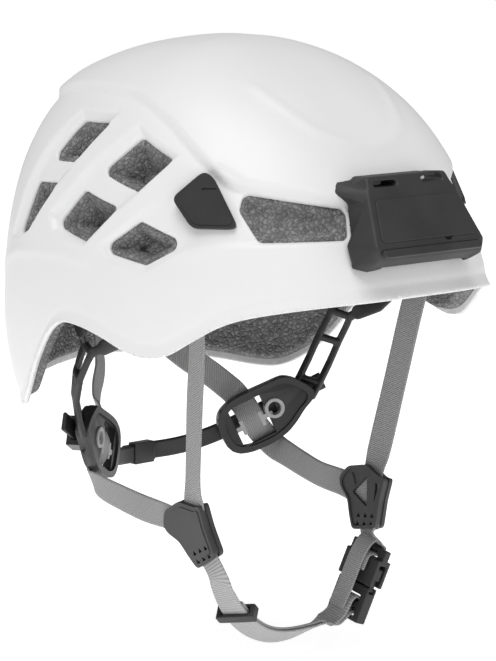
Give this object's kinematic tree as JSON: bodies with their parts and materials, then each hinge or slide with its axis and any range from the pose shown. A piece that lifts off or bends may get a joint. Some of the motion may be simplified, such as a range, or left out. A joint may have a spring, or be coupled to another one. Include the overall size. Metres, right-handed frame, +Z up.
{
  "type": "climbing helmet",
  "caption": "Hard-shell climbing helmet with vents, foam liner, lamp mount and clips, adjustable nape strap, side dividers and a side-release chin buckle.",
  "frame": {"origin": "centre of the head opening, level with the middle of the shell rim", "axes": "+Z up through the crown, -Y towards the brow, +X towards the wearer's left"},
  "size_m": [0.2272, 0.264, 0.3134],
  "materials": {
    "shell": "satin white moulded shell",
    "side_foam": "dark grey expanded bead foam",
    "crown_foam": "dark grey expanded bead foam",
    "pad": "black brushed comfort foam",
    "plate_plastic": "fine grained dark grey moulding",
    "black_plastic": "satin black moulding",
    "headband_plastic": "flexible satin black moulding",
    "divider_plastic": "fine grained dark grey moulding",
    "buckle_plastic": "satin dark grey moulding",
    "webbing": "grey woven polyester webbing"
  },
  "bodies": {
    "helmet": {"outer_shell": "shell", "foam_liner": "side_foam", "crown_liner": "crown_foam", "forehead_pad": "pad", "crown_pad": "pad", "lamp_plate": "plate_plastic", "lamp_clip_base_left": "black_plastic", "lamp_clip_base_right": "black_plastic", "rear_clip_base": "black_plastic", "strap_anchor_front_left": "black_plastic", "strap_anchor_front_right": "black_plastic", "strap_anchor_rear_left": "black_plastic", "strap_anchor_rear_right": "black_plastic", "front_webbing_left": "webbing", "front_webbing_right": "webbing", "rear_webbing_left": "webbing", "rear_webbing_right": "webbing", "headband_arm_left": "headband_plastic", "headband_arm_right": "headband_plastic", "arm_pin_front_left": "headband_plastic", "arm_pin_front_right": "headband_plastic", "arm_pin_rear_left": "headband_plastic", "arm_pin_rear_right": "headband_plastic", "adjuster_plate_left": "headband_plastic", "adjuster_plate_right": "headband_plastic", "divider_left": "divider_plastic", "divider_right": "divider_plastic", "divider_cover_left": "divider_plastic", "divider_cover_right": "divider_plastic", "buckle_webbing": "webbing", "buckle_guard": "webbing", "buckle_socket": "buckle_plastic"},
    "lamp_clip_left": {"lamp_clip_left": "black_plastic"},
    "lamp_clip_right": {"lamp_clip_right": "black_plastic"},
    "rear_clip": {"rear_clip": "black_plastic"},
    "adjuster_button_left": {"adjuster_button_left": "black_plastic"},
    "adjuster_button_right": {"adjuster_button_right": "black_plastic"},
    "nape_strap_left": {"nape_strap_left": "headband_plastic"},
    "nape_strap_right": {"nape_strap_right": "headband_plastic"},
    "nape_sleeve": {"nape_sleeve": "headband_plastic"},
    "chin_strap": {"chin_webbing": "webbing", "buckle_plug": "buckle_plastic"},
    "prong_front": {"buckle_prong_front": "buckle_plastic"},
    "prong_rear": {"buckle_prong_rear": "buckle_plastic"},
    "keeper": {"strap_keeper": "buckle_plastic"}
  },
  "joints": [
    {"name": "buckle_release", "type": "hinge", "parent": "helmet", "child": "chin_strap", "pos_m": [-0.05792, -0.03589, -0.12653], "axis": [0.0663, 0.9849, 0.1601], "range_deg": [0, 60]},
    {"name": "prong_front_squeeze", "type": "hinge", "parent": "chin_strap", "child": "prong_front", "pos_m": [0.04786, -0.04623, -0.16671], "axis": [-0.9454, 0.0107, 0.3257], "range_deg": [0, 8], "stiffness_Nm_per_rad": 0.5},
    {"name": "prong_rear_squeeze", "type": "hinge", "parent": "chin_strap", "child": "prong_rear", "pos_m": [0.04913, -0.02732, -0.16363], "axis": [0.9454, -0.0107, -0.3257], "range_deg": [0, 8], "stiffness_Nm_per_rad": 0.5},
    {"name": "keeper_slide", "type": "slide", "parent": "chin_strap", "child": "keeper", "axis": [0.7221, 0.2194, -0.6561], "range_m": [-0.002, 0.003]},
    {"name": "lamp_clip_right_open", "type": "hinge", "parent": "helmet", "child": "lamp_clip_right", "pos_m": [-0.08734, -0.05791, 0.05306], "axis": [-0.6266, 0.4443, -0.6403], "range_deg": [0, 14], "stiffness_Nm_per_rad": 0.05},
    {"name": "lamp_clip_left_open", "type": "hinge", "parent": "helmet", "child": "lamp_clip_left", "pos_m": [0.08734, -0.05791, 0.05306], "axis": [-0.6266, -0.4443, 0.6403], "range_deg": [0, 14], "stiffness_Nm_per_rad": 0.05},
    {"name": "rear_clip_open", "type": "hinge", "parent": "helmet", "child": "rear_clip", "pos_m": [0, 0.10618, 0.08471], "axis": [1, 0, 0], "range_deg": [0, 14], "stiffness_Nm_per_rad": 0.05},
    {"name": "nape_adjust_left", "type": "slide", "parent": "helmet", "child": "nape_strap_left", "axis": [0.7686, -0.4803, 0.4226], "range_m": [0, 0.009]},
    {"name": "nape_adjust_right", "type": "slide", "parent": "helmet", "child": "nape_strap_right", "axis": [-0.7686, -0.4803, 0.4226], "range_m": [0, 0.009]},
    {"name": "nape_sleeve_follow", "type": "slide", "parent": "helmet", "child": "nape_sleeve", "axis": [0, -0.7507, 0.6606], "range_m": [0, 0.00576]},
    {"name": "adjuster_button_left_press", "type": "slide", "parent": "helmet", "child": "adjuster_button_left", "axis": [-0.5299, -0.848, 0], "range_m": [0, 0.001], "stiffness_N_per_m": 300},
    {"name": "adjuster_button_right_press", "type": "slide", "parent": "helmet", "child": "adjuster_button_right", "axis": [0.5299, -0.848, 0], "range_m": [0, 0.001], "stiffness_N_per_m": 300}
  ],
  "couplings": [
    {"joint": "nape_adjust_right", "follows": "nape_adjust_left", "ratio": 1},
    {"joint": "nape_sleeve_follow", "follows": "nape_adjust_left", "ratio": 0.63974}
  ]
}
